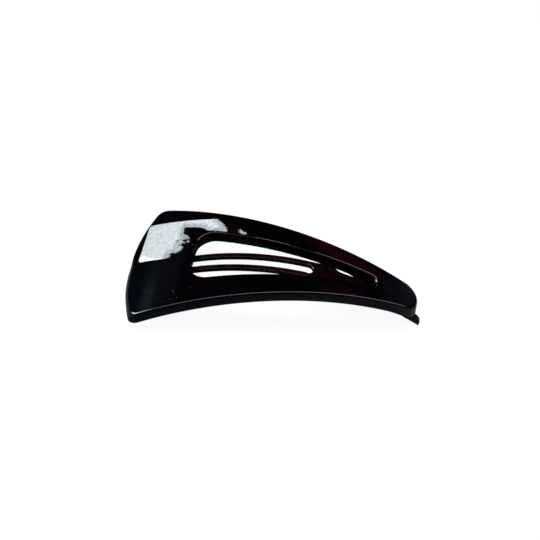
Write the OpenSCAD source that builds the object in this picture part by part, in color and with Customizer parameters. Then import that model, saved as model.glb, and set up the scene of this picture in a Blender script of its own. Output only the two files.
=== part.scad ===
// A bowed plastic snap hair clip: a teardrop frame with an open middle, a slotted tongue hinged
// under the wide end, the hinge's pin, and the torn remains of a paper price label.
// Everything is first drawn lying level with the middle of the bow on top, then tipped so that the
// wide end and the tongue's tab rest on the table.

/* [Frame] */
// Straight length of the frame, seen from above
frame_len = 77.2; // [68:0.5:88]
// Width across the wide end
wide_w = 39; // [34:0.5:46]
// Width of the straight middle of the wide end, on which the clip stands
wide_flat_w = 4; // [1:0.5:6]
// Radius of the outward curves on each side of that middle
bulge_r = 41; // [36:1:90]
// Radius of the two corners of the wide end
corner_r = 2.8; // [1:0.1:4]
// Radius of the rounded tip
tip_r = 4.5; // [3.6:0.1:6]
// How far each long edge curves inward at its middle
edge_waist = 0.15; // [0:0.05:0.8]
// Thickness of the frame
frame_t = 3.1; // [2.2:0.1:4]
// Radius of the bow, to the frame's top face
bow_r = 88.4; // [78:1:120]

/* [Opening] */
// Distance from the wide end to the opening
open_inset = 16.2; // [13:0.5:20]
// Distance from the opening to the tip
open_tip_inset = 11.4; // [9:0.5:15]
// Width of the opening at its wide end
open_w = 16.8; // [14:0.5:20]
// Radius of the corners at the opening's wide end
open_corner_r = 4.6; // [3:0.1:6]
// Radius of the opening's narrow end
open_tip_r = 2.3; // [1.8:0.1:3]
// Width of the straight middle of the opening's wide end
open_flat_w = 4; // [1:0.5:6]
// Radius of the slight outward curves on each side of that middle
open_bulge_r = 60; // [40:5:200]

/* [Tongue] */
// Thickness of the tongue
tongue_t = 1.2; // [0.8:0.1:1.6]
// Radius of the tongue's bow, to its top face
tongue_bow_r = 63.5; // [60:0.5:68]
// Depth of the tongue's top face below the frame's top face, at the tongue's highest place
tongue_drop = 1.8; // [1.4:0.05:2.2]
// Distance of that highest place from the middle of the frame, towards the tip
tongue_crest_x = 0.4; // [-1:0.1:2]
// Width over the tongue's two ribs
rib_w = 5.4; // [4.6:0.1:6]
// Width of the long slot between the ribs
slot_w = 3; // [2.4:0.1:3.4]
// Distance from the hinge axis to the slot
slot_start = 3; // [2:0.25:5]
// Distance from the hinge axis to the slot's far end
slot_end = 38.8; // [32:0.5:42]
// Width of the pad beyond the slot
pad_w = 6.1; // [5.4:0.1:7]
// Distance from the hinge axis to the middle of the pad
pad_x = 42; // [40:0.5:46]
// Straight length of the pad between its round ends
pad_len = 1.6; // [0.5:0.1:4]
// Width of the neck beyond the pad
neck_w = 3.5; // [2.8:0.1:4.2]
// Distance from the hinge axis to the head, where the tongue is wider again
head_x = 50.5; // [49.5:0.1:52]
// Length over which the neck widens to the head
head_step = 0.7; // [0.4:0.1:1.5]
// Width of the head at its start
head_w = 4.7; // [4.3:0.1:5.2]
// Width of the head at its shoulders, where it starts to narrow to the tab
shoulder_w = 3.9; // [3.2:0.1:4.2]
// Distance from the shoulders to the tab's end
shoulder_inset = 4.9; // [4:0.1:6]
// Width of the tab at the tongue's free end
tab_w = 2; // [1.6:0.1:3]
// Radius of the tab's two corners
tab_corner_r = 0.5; // [0.3:0.1:0.7]
// How far the tab reaches past the frame's tip
tab_reach = 2.5; // [1:0.1:4]

/* [Hinge] */
// Distance from the opening to the hinge axis, under the wide end
hinge_inset = 6.5; // [5:0.2:9]
// Diameter of the pin
pin_d = 1; // [0.8:0.1:1.4]
// Outer diameter of the tongue's barrel
barrel_d = 2.4; // [2:0.1:3]
// Outer diameter of the ears' round ends
ear_d = 3; // [2.4:0.1:3.6]
// Thickness of each ear
ear_t = 1.3; // [0.8:0.1:2]

/* [Label] */
// Distance from the wide end to the label
label_inset = 2; // [1:0.1:5]
// Length of the label's remains, along the clip
label_len = 22.1; // [14:0.5:26]
// Width of the label's remains, across the clip
label_w = 14.5; // [8:0.5:15]
// Distance of the label's near edge from the clip's centre line, towards the near side
label_near_y = 0.55; // [-1:0.05:3]
// Thickness of the paper
label_t = 0.14; // [0.1:0.01:0.3]

/* [Clearances] */
// Gap between the tongue and the frame above it and beside its barrel
tongue_gap = 0.25; // [0.15:0.05:0.4]
// Running clearance round the pin in the tongue's barrel
pin_run_gap = 0.05; // [0.03:0.01:0.09]
// Clearance round the pin in the frame's ears
pin_seat_gap = 0.02; // [0.01:0.01:0.03]
// Gap under the label
label_gap = 0.02; // [0.01:0.01:0.05]

/* [Hidden] */
$fn = 120;

// Steps in each stretch of a teardrop outline: long edge, wide end's half, corner and point's half
edge_steps = 10;
end_steps = 6;
round_steps = 8;
point_steps = 10;
// Extra size of each cutting shape, so that it passes clear through what it cuts
over = 2;
// Half-height of the shapes cut down to the bow, and half the length of the bow's cylinders
draw_h = frame_len;

// Ends of the frame and of its opening along the clip, measured from the middle
wide_x = -frame_len / 2;
tip_x = frame_len / 2;
open_x = wide_x + open_inset;
open_tip_x = tip_x - open_tip_inset;

// The bow's faces are cylinders across the clip, and height 0 is the top of the bow
frame_under_r = bow_r - frame_t;
tongue_under_r = tongue_bow_r - tongue_t;
tongue_axis_z = -tongue_drop - tongue_bow_r;
function face_z(r, axis_x, axis_z, x) = axis_z + sqrt(r * r - (x - axis_x) * (x - axis_x));
function frame_under_z(x) = face_z(frame_under_r, 0, -bow_r, x);
function tongue_under_z(x) = face_z(tongue_under_r, tongue_crest_x, tongue_axis_z, x);

// The hinge axis runs across the clip at the level of the tongue's under face
hinge_x = open_x - hinge_inset;
hinge_z = tongue_under_z(hinge_x);
barrel_len = rib_w;
ear_y = barrel_len / 2 + tongue_gap;
pin_len = 2 * (ear_y + ear_t);
tab_x = tip_x + tab_reach;

// Tip of the clip and rest on the table: the wide end's lower edge and the tab's end are level
rest_rise = tongue_under_z(tab_x) - frame_under_z(wide_x);
rest_tilt = atan2(rest_rise, tab_x - wide_x);
function tipped_x(x, z) = x * cos(rest_tilt) + z * sin(rest_tilt);
function tipped_z(x, z) = z * cos(rest_tilt) - x * sin(rest_tilt);
table_z = tipped_z(wide_x, frame_under_z(wide_x));
wide_end_x = tipped_x(wide_x, face_z(bow_r, 0, -bow_r, wide_x));
tab_end_x = tipped_x(tab_x, tongue_under_z(tab_x));

// Outline of the label's remains: shares of its length from the wide end and of its width from its
// near edge. The first stretch is the torn side, the rest the cut edges with their rounded corners.
label_shares = [
    [0.30, 0.00], [0.35, 0.04], [0.40, 0.08], [0.38, 0.13], [0.48, 0.14], [0.50, 0.21],
    [0.49, 0.30], [0.46, 0.34], [0.49, 0.42], [0.46, 0.48], [0.48, 0.52], [0.55, 0.51],
    [0.48, 0.58], [0.44, 0.63], [0.50, 0.71], [0.45, 0.75], [0.48, 0.82], [0.56, 0.81],
    [0.62, 0.77], [0.71, 0.75], [0.75, 0.67], [0.83, 0.69], [0.91, 0.66], [1.00, 0.66],
    [0.96, 0.82], [0.89, 0.88], [0.85, 0.98], [0.62, 0.97], [0.04, 1.00], [0.01, 0.98],
    [0.00, 0.94], [0.00, 0.05], [0.01, 0.02], [0.04, 0.00]
];
// Outline of the crumb of label left farther along the same leg, in the same shares
crumb_shares = [
    [1.15, 0.58], [1.20, 0.55], [1.24, 0.58], [1.23, 0.62], [1.18, 0.65], [1.14, 0.62]
];

// Rests the clip on the table, with the middle of its length at the origin
module at_rest() {
    translate([-(wide_end_x + tab_end_x) / 2, 0, -table_z])
        rotate([0, rest_tilt, 0]) children();
}

// Cylinder across the clip, centred on the centre line
module across(x, z, r, len) {
    translate([x, 0, z]) rotate([90, 0, 0]) cylinder(r = r, h = len, center = true);
}

// Plan shape drawn straight up and down through the bow
module drawn() {
    translate([0, 0, -draw_h]) linear_extrude(2 * draw_h) children();
}

// Points along an arc, both ends included
function arc(centre, r, from, to, steps) = [for (i = [0 : steps])
    let (a = from + (to - from) * i / steps) centre + r * [cos(a), sin(a)]];
function part(points, first, last) = [for (i = [first : last]) points[i]];

// Teardrop in plan: wide end at x0 with a straight middle of width flat and outward curves of
// radius end_r, two round corners, long edges that bow inward by waist, and a round end at x1
module teardrop(x0, x1, w, flat, round_r, end_r, point_r, waist) {
    side_y = w / 2 - round_r;
    rise_y = side_y - flat / 2;
    end_x = x0 + end_r;
    side_x = end_x - sqrt(pow(end_r - round_r, 2) - rise_y * rise_y);
    point_x = x1 - point_r;
    span = [point_x - side_x, -side_y];
    // Direction square to each long edge, and where the end's curve meets the corner
    edge_a = 90 - atan2(side_y, span[0]) + asin((point_r - round_r) / norm(span));
    meet_a = atan2(rise_y, side_x - end_x);
    from = [side_x, side_y] + round_r * [cos(edge_a), sin(edge_a)];
    to = [point_x, 0] + point_r * [cos(edge_a), sin(edge_a)];
    edge = [for (i = [1 : edge_steps - 1]) let (u = i / edge_steps)
        from + (to - from) * u - 4 * waist * u * (1 - u) * [cos(edge_a), sin(edge_a)]];
    half = concat(
        arc([end_x, flat / 2], end_r, 180, meet_a, end_steps),
        part(arc([side_x, side_y], round_r, meet_a, edge_a, round_steps), 1, round_steps),
        edge,
        arc([point_x, 0], point_r, edge_a, 0, point_steps)
    );
    last = len(half) - 1;
    polygon(concat(half, [for (i = [last - 1 : -1 : 0]) [half[i][0], -half[i][1]]]));
}

module frame_plan() {
    teardrop(wide_x, tip_x, wide_w, wide_flat_w, corner_r, bulge_r, tip_r, edge_waist);
}

module opening_plan() {
    teardrop(open_x, open_tip_x, open_w, open_flat_w, open_corner_r, open_bulge_r, open_tip_r, 0);
}

// Plan of the tongue, with every edge moved out by grow: the ribs' strip, the pad, the neck, and
// the head, which narrows from its shoulders to a tab with two round corners
module tongue_plan(grow = 0) {
    pad_r = pad_w / 2 + grow;
    tab_y = tab_w / 2 - tab_corner_r;
    rib_r = rib_w / 2 + grow;
    pad_mid_x = hinge_x + pad_x;
    head_start_x = hinge_x + head_x;
    round_x = tab_x - tab_corner_r;
    side = [
        [pad_mid_x, neck_w / 2 + grow],
        [head_start_x - head_step, neck_w / 2 + grow],
        [head_start_x, head_w / 2 + grow],
        [tab_x - shoulder_inset, shoulder_w / 2 + grow],
        [round_x, tab_w / 2 + grow]
    ];
    last = len(side) - 1;
    translate([hinge_x - grow, -rib_r]) square([pad_x + grow, 2 * rib_r]);
    for (end = [-1, 1]) translate([pad_mid_x + end * pad_len / 2, 0]) circle(pad_r);
    translate([pad_mid_x - pad_len / 2, -pad_r]) square([pad_len, 2 * pad_r]);
    polygon(concat(side, [for (i = [last : -1 : 0]) [side[i][0], -side[i][1]]]));
    for (end = [-1, 1]) translate([round_x, end * tab_y]) circle(tab_corner_r + grow);
    translate([round_x - tab_corner_r, -tab_y]) square([2 * tab_corner_r + grow, 2 * tab_y]);
}

// One ear: a round end about the hinge axis, and a stem up into the frame
module ear() {
    stem_h = frame_under_z(hinge_x) + frame_t / 2 - hinge_z;
    rotate([90, 0, 0]) linear_extrude(ear_t) {
        translate([hinge_x, hinge_z]) circle(d = ear_d);
        translate([hinge_x - ear_d / 2, hinge_z]) square([ear_d, stem_h]);
    }
}

module frame() {
    color([0.06, 0.04, 0.045]) at_rest() difference() {
        union() {
            difference() {
                intersection() {
                    across(0, -bow_r, bow_r, 2 * draw_h);
                    drawn() frame_plan();
                }
                across(0, -bow_r, frame_under_r, 2 * draw_h + over);
                drawn() opening_plan();
                // The tongue's bed, cut into the under face where the tongue passes below the frame
                intersection() {
                    across(tongue_crest_x, tongue_axis_z, tongue_bow_r + tongue_gap, 2 * draw_h);
                    drawn() tongue_plan(tongue_gap);
                }
            }
            translate([0, -ear_y, 0]) ear();
            translate([0, ear_y + ear_t, 0]) ear();
        }
        across(hinge_x, hinge_z, pin_d / 2 + pin_seat_gap, pin_len + over);
    }
}

// Plan of the slot, square at the hinge and round at its far end
module slot_plan() {
    slot_r = slot_w / 2;
    translate([hinge_x + slot_start, -slot_r]) square([slot_end - slot_start - slot_r, slot_w]);
    translate([hinge_x + slot_end - slot_r, 0]) circle(slot_r);
}

module tongue() {
    color([0.25, 0.05, 0.05]) at_rest() difference() {
        union() {
            difference() {
                intersection() {
                    across(tongue_crest_x, tongue_axis_z, tongue_bow_r, 2 * draw_h);
                    drawn() tongue_plan();
                }
                across(tongue_crest_x, tongue_axis_z, tongue_under_r, 2 * draw_h + over);
                drawn() slot_plan();
            }
            across(hinge_x, hinge_z, barrel_d / 2, barrel_len);
        }
        across(hinge_x, hinge_z, pin_d / 2 + pin_run_gap, barrel_len + over);
    }
}

module pivot_pin() {
    color([0.7, 0.7, 0.72]) at_rest() across(hinge_x, hinge_z, pin_d / 2, pin_len);
}

// Plan outline worked out from shares of the label's length and width
module label_plan(shares) {
    polygon([for (share = shares)
        [wide_x + label_inset + label_len * share[0], label_w * share[1] - label_near_y]]);
}

module label() {
    color([0.86, 0.88, 0.9]) at_rest() difference() {
        intersection() {
            across(0, -bow_r, bow_r + label_gap + label_t, 2 * draw_h);
            drawn() {
                label_plan(label_shares);
                label_plan(crumb_shares);
            }
        }
        across(0, -bow_r, bow_r + label_gap, 2 * draw_h + over);
    }
}

frame();
tongue();
pivot_pin();
label();
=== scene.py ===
"""A bowed plastic snap hair clip with the torn remains of a paper price label, on a pale table."""

import math
import random
from functools import partial

import bmesh
import bpy
from bpy.props import FloatProperty, FloatVectorProperty, IntProperty, PointerProperty
from mathutils import Matrix, Vector, noise


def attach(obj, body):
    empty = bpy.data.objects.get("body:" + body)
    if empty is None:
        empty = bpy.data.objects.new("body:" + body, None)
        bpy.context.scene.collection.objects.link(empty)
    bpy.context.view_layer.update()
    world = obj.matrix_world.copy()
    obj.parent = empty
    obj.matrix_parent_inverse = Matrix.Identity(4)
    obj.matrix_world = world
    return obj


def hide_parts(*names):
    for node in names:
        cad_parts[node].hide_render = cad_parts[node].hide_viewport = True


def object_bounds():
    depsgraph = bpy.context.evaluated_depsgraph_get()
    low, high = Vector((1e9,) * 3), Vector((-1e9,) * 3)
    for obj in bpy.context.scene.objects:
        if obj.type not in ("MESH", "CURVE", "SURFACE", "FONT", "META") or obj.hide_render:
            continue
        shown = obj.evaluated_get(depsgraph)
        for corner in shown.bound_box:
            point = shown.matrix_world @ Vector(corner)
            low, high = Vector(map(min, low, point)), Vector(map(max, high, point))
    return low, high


bl_info = {
    "name": "Snap Hair Clip",
    "version": (1, 0, 0),
    "blender": (4, 5, 0),
    "location": "3D View > Sidebar > Hair Clip",
    "description": "Makes a bowed plastic snap hair clip, its finishes and a pale table",
    "category": "Add Mesh",
}

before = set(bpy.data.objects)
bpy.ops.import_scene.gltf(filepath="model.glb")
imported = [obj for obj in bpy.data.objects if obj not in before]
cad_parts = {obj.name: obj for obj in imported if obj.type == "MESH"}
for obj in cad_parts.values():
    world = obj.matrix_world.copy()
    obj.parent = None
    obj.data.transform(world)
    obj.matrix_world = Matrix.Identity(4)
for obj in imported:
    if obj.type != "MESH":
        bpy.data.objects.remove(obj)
CAD_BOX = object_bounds()
MM = 0.001
# Spacing of points and cuts, small roundings and lengths over which shapes ease, alike on every clip
PLATE_SLICE = 1.0 * MM
OUTLINE_STEP = 0.4 * MM
SLOT_CORNER = 0.35 * MM
BED_HEIGHT = 4 * MM
BED_SOFT = 0.1 * MM
EAR_SOFT = 0.14 * MM
BARREL_SOFT = 0.15 * MM
BARREL_TURNS = 56
BORE_CLEARANCE = 0.03 * MM
TORN_STEP = 0.14 * MM
TORN_REACH = 0.10 * MM
TAB_CURVE = 1.15
FLAT_STEP = 0.7 * MM
EDGE_MARGIN = 0.12 * MM
SIDE_FADE = 2.0 * MM
PAD_EASE = 0.2 * MM
PAD_RISE = 2.6 * MM
PAD_FALL = 3.4 * MM
MERGE = 0.002 * MM


def size(name, description, default):
    """A length in metres, with its default given in millimetres."""
    return FloatProperty(
        name=name,
        description=description,
        default=default * MM,
        precision=5,
        unit="LENGTH",
        subtype="DISTANCE",
    )


def angle(name, description, default):
    """An angle, with its default given in degrees."""
    return FloatProperty(name=name, description=description, default=math.radians(default), subtype="ANGLE")


def colour(name, description, default):
    """A colour that a user may change."""
    return FloatVectorProperty(
        name=name, description=description, default=default, size=3, min=0, max=1, subtype="COLOR"
    )


class ClipFrameSizes(bpy.types.PropertyGroup):
    """Sizes of the teardrop frame and its opening."""

    length: size("Length", "Straight length of the frame", 77.2)
    wide: size("Wide end", "Width across the wide end", (CAD_BOX[1][1] - CAD_BOX[0][1]) / MM)
    flat: size("Straight middle", "Width of the straight middle of the wide end", 4)
    bulge: size("Bulge radius", "Radius of the wide end's outward curves", 41)
    corner: size("Corner radius", "Radius of the two corners of the wide end", 2.8)
    tip: size("Tip radius", "Radius of the rounded tip", 4.6)
    waist: size("Waist", "How far each long edge curves inward at its middle", 0.03)
    thick: size("Thickness", "Thickness of the frame", 3.1)
    bow: size("Bow radius", "Radius of the bow, to the top face", 88.4)
    edge_soft: size("Edge rounding", "Radius of the softer top edges", 0.55)
    crisp: size("Crisp rounding", "Radius of the crisper top edges, far side and opening", 0.15)
    end_soft: size("Wide end rounding", "Radius of the near corner of the wide end", 1.05)
    under_soft: size("Under rounding", "Radius of the lower edges", 0.10)
    draft: size("Tip draft", "How far the tip's foot stands out beyond its top edge", 0.45)
    open_inset: size("Opening inset", "Distance from the wide end to the opening", 16.35)
    open_tip_inset: size("Tip inset", "Distance from the opening to the tip", 11.8)
    end_extra: size("Narrow end rounding", "How much softer the opening's edge is at its narrow end", 0.45)
    open_slope: size("Opening slope", "How far the foot of the opening's wall stands in", 0.05)
    narrow_slope: size("Narrow end slope", "How much more it stands in at the narrow end", 0.62)
    wide_slope: size("Wide end slope", "How much more it stands in at the wide end's corners", 0.32)
    open_wide: size("Opening width", "Width of the opening at its wide end", 16.45)
    open_waist: size("Opening waist", "How far each long edge of the opening curves inward", 0.08)
    open_corner: size("Opening corners", "Radius of the opening's two corners", 4.6)
    open_tip: size("Opening tip", "Radius of the opening's narrow end", 2.2)
    open_flat: size("Opening flat", "Width of the straight middle of the opening's wide end", 4)
    open_bulge: size("Opening bulge", "Radius of the curves beside that middle", 60)


class ClipTongueSizes(bpy.types.PropertyGroup):
    """Sizes of the tongue and its hinge."""

    thick: size("Thickness", "Thickness of the tongue", 1.2)
    bow: size("Bow radius", "Radius of the tongue's bow, to its top face", 63.5)
    drop: size("Drop", "Depth of its highest place below the frame's top face", 1.8)
    crest: size("Crest", "Distance of that place from the middle, towards the tip", 0.4)
    ribs: size("Rib width", "Width over the two ribs", 5.4)
    slot: size("Slot width", "Width of the long slot", 3)
    slot_start: size("Slot start", "Distance from the hinge to the slot", 3)
    slot_end: size("Slot end", "Distance from the hinge to the slot's far end", 38.3)
    pad: size("Pad width", "Width of the pad beyond the slot", 6.1)
    pad_place: size("Pad place", "Distance from the hinge to the middle of the pad", 42)
    pad_length: size("Pad length", "Straight length of the pad", 1.6)
    neck: size("Neck width", "Width of the neck beyond the pad", 3.5)
    head: size("Head width", "Width of the head at its start", 4.7)
    head_place: size("Head place", "Distance from the hinge to the head", 50.5)
    head_step: size("Head step", "Length over which the neck widens to the head", 0.7)
    shoulder: size("Shoulder width", "Width of the head where it starts to narrow", 3.9)
    shoulder_inset: size("Shoulder inset", "Distance from the shoulders to the tab's end", 4.9)
    tab: size("Tab width", "Width of the tab at the free end", 2)
    tab_corner: size("Tab corners", "Radius of the tab's two corners", 0.5)
    tab_reach: size("Tab reach", "How far the tab reaches past the tip", 2.5)
    soft: size("Edge rounding", "Radius of the tongue's rounded edges", 0.12)
    slot_soft: size("Slot end rounding", "How much softer the slot's edge is at its round end", 0.3)
    fill: size("Moulded fill", "How much fuller the ribs are than their plain width, on each side", 0.12)
    gap: size("Gap", "Gap between the tongue and the frame", 0.25)
    hinge_inset: size("Hinge inset", "Distance from the opening to the hinge axis", 6.5)
    barrel: size("Barrel", "Outer diameter of the barrel", 2.4)
    bore: size("Bore", "Diameter of the barrel's bore", 1.1)
    ear: size("Ear", "Outer diameter of each ear's round end", 3)
    ear_thick: size("Ear thickness", "Thickness of each ear", 1.3)
    ear_hole: size("Ear hole", "Diameter of the hole in each ear", 1.04)


class ClipLabelSizes(bpy.types.PropertyGroup):
    """Sizes of the torn price label."""

    inset: size("Inset", "Distance from the wide end to the label", 2)
    length: size("Length", "Length of the label's remains", 22.1)
    width: size("Width", "Width of the label's remains", 14.5)
    near: size("Near edge", "Distance of its near edge from the centre line", 0.55)
    thick: size("Thickness", "Thickness of the whole paper", 0.14)
    gap: size("Glue", "Gap under the paper", 0.02)
    cell: size("Cell", "Size of the paper's small faces", 0.3)
    fibre: size("Fibre length", "Length of the torn fibres", 0.75)
    fibres: IntProperty(name="Fibres", description="Number of torn fibres", default=420, min=0, max=2000)


class ClipFinishes(bpy.types.PropertyGroup):
    """Colours of the clip and the table."""

    black: colour("Near black", "The frame's main colour", (0.0004, 0.0003, 0.0007))
    red: colour("Dark red", "Colour of the clearer patches in the frame", (0.0175, 0.0009, 0.0018))
    brown: colour("Red brown", "The tongue's main colour", (0.0014, 0.0004, 0.0008))
    wine: colour("Wine red", "The tongue's clearer streaks", (0.0100, 0.0012, 0.0026))
    paper: colour("Paper", "The torn inner layer of the label", (0.68, 0.75, 0.775))
    face: colour("Label face", "The label's whole, printed side", (0.84, 0.87, 0.85))
    steel: colour("Steel", "The pin", (0.55, 0.55, 0.57))
    dust: colour("Dust", "Specks on the plastic", (0.30, 0.27, 0.20))
    table: colour("Table", "The pale table", (0.90, 0.90, 0.90))


class ClipStageSettings(bpy.types.PropertyGroup):
    """Camera and lights."""

    distance: size("Camera distance", "From the camera to the top of the bow", 179.36)
    azimuth: angle("Azimuth", "Camera's turn round the clip", -4.575)
    elevation: angle("Elevation", "Camera's height above the table, as an angle", 44.818)
    roll: angle("Roll", "Camera's turn about its own line of sight", 13.748)
    lens: FloatProperty(name="Lens", description="Focal length in millimetres", default=46.207)
    bar_height: size("Bar height", "Height of the long soft light above the table", 600)
    bar_light: FloatProperty(
        name="Bar light", description="Power of the long soft light", default=10.8, unit="POWER"
    )


def settings(*names):
    """The named groups of the clip's settings on the open scene, or the one group alone."""
    groups = [getattr(bpy.context.scene, "clip_" + name) for name in names]
    return groups if len(groups) > 1 else groups[0]


def arithmetic(operation, swapped=False):
    """A method that works out one Math node from a wire and another number."""

    def method(self, other):
        pair = (other, self) if swapped else (self, other)
        return Wire.node(self.tree, "ShaderNodeMath", dict(enumerate(pair)), operation=operation)

    return method


class Wire:
    """A node's output, which adds and multiplies as a number does."""

    def __init__(self, socket):
        self.socket = socket
        self.tree = socket.id_data

    @classmethod
    def node(cls, tree, kind, inputs=None, output=0, **setup):
        """Adds any node: its settings by name, its inputs by name or number as values or wires."""
        made = tree.nodes.new(kind)
        for name, value in setup.items():
            setattr(made, name, value)
        for key, value in (inputs or {}).items():
            cls.plug(made.inputs[key], value)
        return cls(made.outputs[output])

    @staticmethod
    def plug(socket, value):
        """Joins a wire to a socket, or sets the socket's own value."""
        if isinstance(value, Wire):
            socket.id_data.links.new(value.socket, socket)
        else:
            socket.default_value = value

    __add__ = arithmetic("ADD")
    __radd__ = arithmetic("ADD", True)
    __sub__ = arithmetic("SUBTRACT")
    __rsub__ = arithmetic("SUBTRACT", True)
    __mul__ = arithmetic("MULTIPLY")
    __rmul__ = arithmetic("MULTIPLY", True)
    __truediv__ = arithmetic("DIVIDE")
    __rtruediv__ = arithmetic("DIVIDE", True)
    __pow__ = arithmetic("POWER")
    least = arithmetic("MINIMUM")
    most = arithmetic("MAXIMUM")

    def __neg__(self):
        return self * -1.0

    def root(self):
        """Square root."""
        return self.node(self.tree, "ShaderNodeMath", {0: self}, operation="SQRT")

    def held(self):
        """The number kept between 0 and 1."""
        return self.most(0.0).least(1.0)

    def eased(self, low, high):
        """0 at low, 1 at high and smooth between."""
        ends = {"Value": self, "From Min": low, "From Max": high}
        return self.node(self.tree, "ShaderNodeMapRange", ends, interpolation_type="SMOOTHSTEP")

    def split(self):
        """The three numbers of a vector."""
        first = self.node(self.tree, "ShaderNodeSeparateXYZ", {0: self})
        return [Wire(out) for out in first.socket.node.outputs]

    def vector(self, operation, other, key=1):
        """One step of vector arithmetic."""
        return self.node(self.tree, "ShaderNodeVectorMath", {0: self, key: other}, operation=operation)

    def times(self, factors):
        """A vector multiplied by three factors."""
        return self.vector("MULTIPLY", factors)

    def scaled(self, factor):
        """A vector multiplied by one number."""
        return self.vector("SCALE", factor, "Scale")

    def grain(self, scale, detail=3.0, rough=0.5, warp=0.0):
        """Soft random pattern from 0 to 1 over a place vector."""
        look = {"Vector": self, "Scale": scale, "Detail": detail, "Roughness": rough, "Distortion": warp}
        return self.node(self.tree, "ShaderNodeTexNoise", look)

    def drift(self, *look):
        """Soft random vector from -0.5 to 0.5 over a place vector."""
        colours = Wire(self.grain(*look).socket.node.outputs["Color"])
        return colours.vector("SUBTRACT", (0.5, 0.5, 0.5))


def tint(hue, factor=1.0):
    """A colour with full opacity, as sockets want it, darkened or paled by a factor."""
    return (*(factor * part for part in hue), 1.0)


def blend(factor, first, second):
    """Mixes two colours by a wire."""
    return Wire.node(factor.tree, "ShaderNodeMix", {0: factor, 6: first, 7: second}, 2, data_type="RGBA")


def feed(surface, **values):
    """Sets a shader's sockets or joins wires to them, each socket named with _ for a space."""
    for key, value in values.items():
        Wire.plug(surface.inputs[key.replace("_", " ")], value)


def new_finish(name, **fixed):
    """A material with one surface shader and its fixed numbers, and the place vector in millimetres."""
    finish = bpy.data.materials.new(name)
    finish.use_nodes = True
    surface = finish.node_tree.nodes["Principled BSDF"]
    feed(surface, **fixed)
    place = Wire.node(finish.node_tree, "ShaderNodeTexCoord", output="Object")
    return finish, surface, place.times((1 / MM, 1 / MM, 1 / MM))


def raise_grain(surface, height, depth, strength=1.0):
    """Feeds a height pattern to the surface as small relief, its depth in metres."""
    look = {"Height": height, "Distance": depth, "Strength": strength}
    feed(surface, Normal=Wire.node(surface.id_data, "ShaderNodeBump", look))


# Stretches of the opening's far edge that are quite crisp, from and to along the clip in
# millimetres, how fast they start and end, and how crisp they get
CRISP_STRETCHES = [(-15.2, -6.0), (1.8, 10.4)]
CRISP_FADE = 1.5
CRISP_DEPTH = 1.15

# Clearer red patches in the frame: place along and across the clip, half-length, half-width,
# turn in degrees and strength, all read off the top face in millimetres
CLEAR_PATCHES = [
    (-17.0, 11.8, 9.0, 4.0, -24.0, 0.27),
    (11.5, 7.8, 7.5, 3.6, -24.0, 0.46),
    (18.5, 5.6, 8.5, 3.6, -24.0, 0.52),
    (25.5, 3.2, 4.5, 2.4, -24.0, 0.40),
    (-16.5, -11.0, 6.0, 3.0, 22.0, 0.12),
    (15.5, -7.0, 9.0, 2.6, 12.0, 0.22),
    (22.0, -5.2, 3.6, 1.0, 52.0, 0.34),
    (29.0, 1.5, 4.2, 1.5, -58.0, 0.22),
    (31.5, -3.2, 3.2, 1.1, 40.0, 0.16),
]


def rest_place(x, z):
    """Where a place in the clip's own level frame lies once the clip is at rest, in metres."""
    turn, move = rest()
    return (
        x * math.cos(turn) + z * math.sin(turn) + move[0],
        z * math.cos(turn) - x * math.sin(turn) + move[1],
    )


def patch_mask(place):
    """Adds up the clearer patches with uneven, soft outlines, which fade with depth below the top face."""
    clip = settings("frame")
    drift = place.drift(0.16, 3.0, 0.6).times((9.0, 7.0, 0.0))
    along, across, _ = place.vector("ADD", drift).split()
    total = 0.0
    for x, y, half_length, half_width, turn, strength in CLEAR_PATCHES:
        centre, _ = rest_place(x * MM, height_on(frame_bow(), x * MM))
        cosine = math.cos(math.radians(turn))
        sine = math.sin(math.radians(turn))
        ahead = along - centre / MM
        beside = across - y
        u = (ahead * cosine + beside * sine) / half_length
        v = (beside * cosine - ahead * sine) / half_width
        total = total + ((1.0 - (u * u + v * v)).most(0.0) ** 1.5) * strength
    axis_x, axis_z = rest_place(0, -clip.bow)
    along, _, up = place.split()
    ahead = along - axis_x / MM
    above = up - axis_z / MM
    sunk = clip.bow / MM - (ahead * ahead + above * above).root()
    return (total * (1.0 - sunk.eased(0.35, 1.3))).held()


def dark_plastic():
    """Near-black polished plastic with clearer dark red patches."""
    looks = settings("finish")
    finish, surface, place = new_finish("dark plastic", Specular_IOR_Level=0.26, IOR=1.49)
    cloud = place.grain(0.22, 4.0, 0.62, 0.6)
    grain = place.grain(1.3, 5.0, 0.68, 0.4)
    streaks = place.times((0.5, 1.5, 1.0)).grain(0.9, 4.0, 0.7, 1.2)
    red = (patch_mask(place) * (0.30 + cloud * 0.95) * (0.15 + grain * 0.8 + streaks * 0.75)).held()
    depth = (red + cloud.eased(0.55, 0.8) * 0.05).held()
    wear = place.times((0.5, 3.2, 1.0)).grain(2.4, 4.0, 0.7)
    smear = place.grain(0.35, 2.0, 0.5)
    hairs = place.times((0.35, 6.0, 1.0)).grain(3.0, 3.0, 0.6)
    ripple = place.grain(0.5, 1.0, 0.4)
    feed(
        surface,
        Base_Color=blend(depth, tint(looks.black), tint(looks.red)),
        Roughness=0.07 + smear * 0.07 + wear.eased(0.5, 0.8) * 0.08,
    )
    raise_grain(surface, hairs * 0.25 + ripple * 6.0 + grain * 0.5, 0.004 * MM, 0.6)
    return finish


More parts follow.
